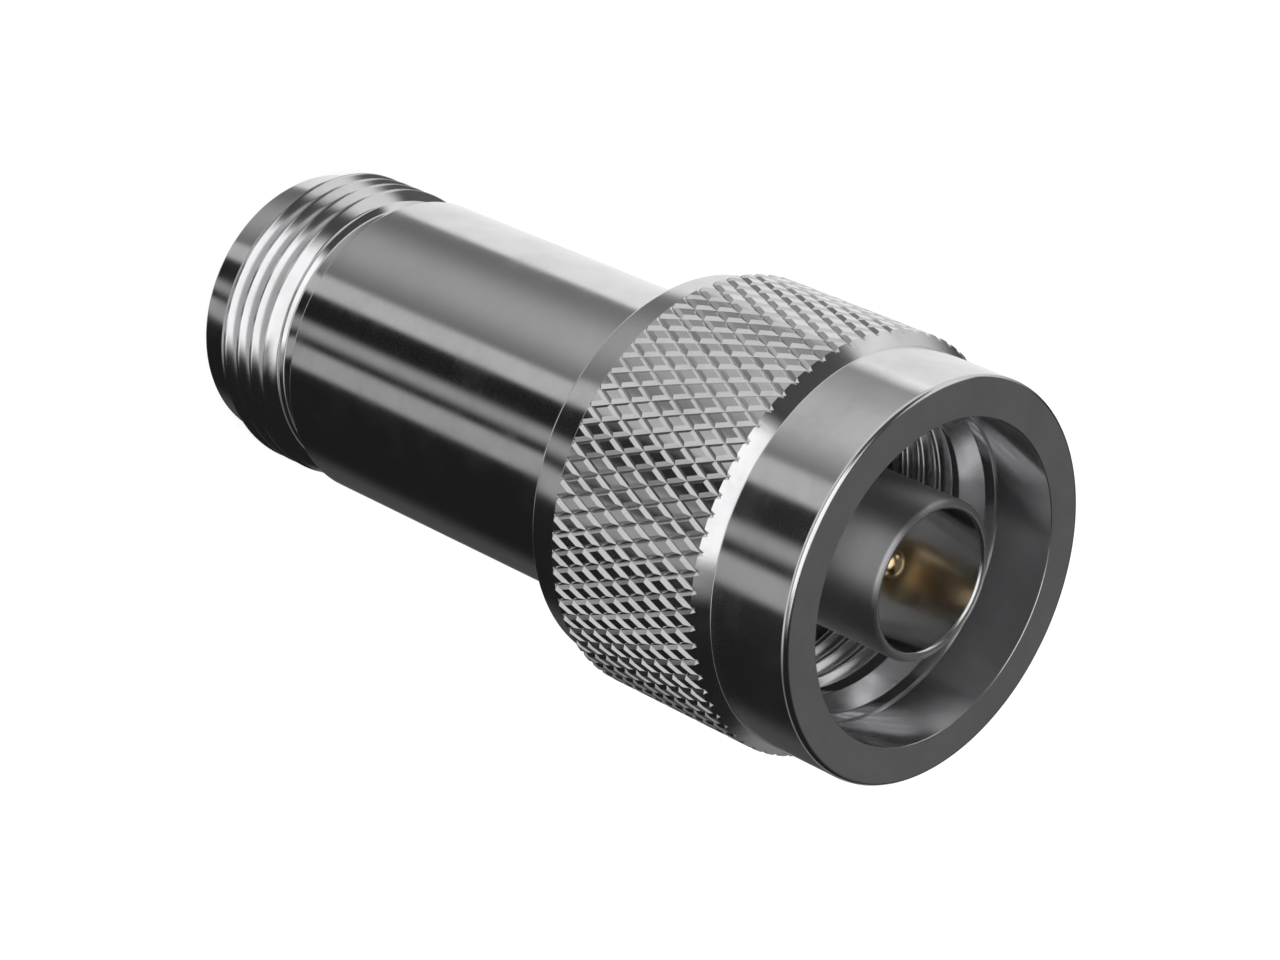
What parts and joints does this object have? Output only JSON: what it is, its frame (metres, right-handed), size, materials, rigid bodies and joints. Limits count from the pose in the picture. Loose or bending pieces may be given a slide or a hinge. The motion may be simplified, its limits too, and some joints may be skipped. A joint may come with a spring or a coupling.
{
  "type": "coaxial attenuator",
  "caption": "In-line coaxial attenuator: a plain barrel with a threaded socket at one end and a knurled coupling nut round a pin at the other.",
  "frame": {"origin": "centre of the jack's end face, on which the part stands", "axes": "+Z along the common axis, from the jack's face to the mouth of the coupling nut; the resistor card lies in the XZ plane, with +Y towards the back half of its holder"},
  "size_m": [0.0212, 0.0212, 0.045],
  "materials": {
    "barrel_metal": "polished",
    "nut_metal": "polished",
    "plug_metal": "polished",
    "holder_metal": "satin",
    "spring_bronze": "satin",
    "contact_gold": "polished",
    "white_dielectric": "satin",
    "seal_rubber": "matte",
    "card_ceramic": "matte"
  },
  "bodies": {
    "barrel": {"housing": "barrel_metal", "plug_body": "plug_metal", "barrel_seal": "seal_rubber", "face_gasket": "seal_rubber", "plug_pin": "contact_gold", "plug_bead": "white_dielectric", "plug_bush": "plug_metal", "plug_card_clip": "contact_gold", "card_holder_front": "holder_metal", "card_holder_back": "holder_metal", "attenuator_card": "card_ceramic", "jack_card_clip": "contact_gold", "jack_bush": "plug_metal", "jack_bead": "white_dielectric", "jack_contact": "contact_gold"},
    "snap_ring": {"snap_ring": "spring_bronze"},
    "nut": {"coupling_nut": "nut_metal"}
  },
  "joints": [
    {"name": "ring_float", "type": "slide", "parent": "barrel", "child": "snap_ring", "axis": [0, 0, 1], "range_m": [0, 0.0003]},
    {"name": "nut_turn", "type": "hinge", "parent": "snap_ring", "child": "nut", "pos_m": [0, 0, 0.03295], "axis": [0, 0, 1], "continuous": true}
  ]
}
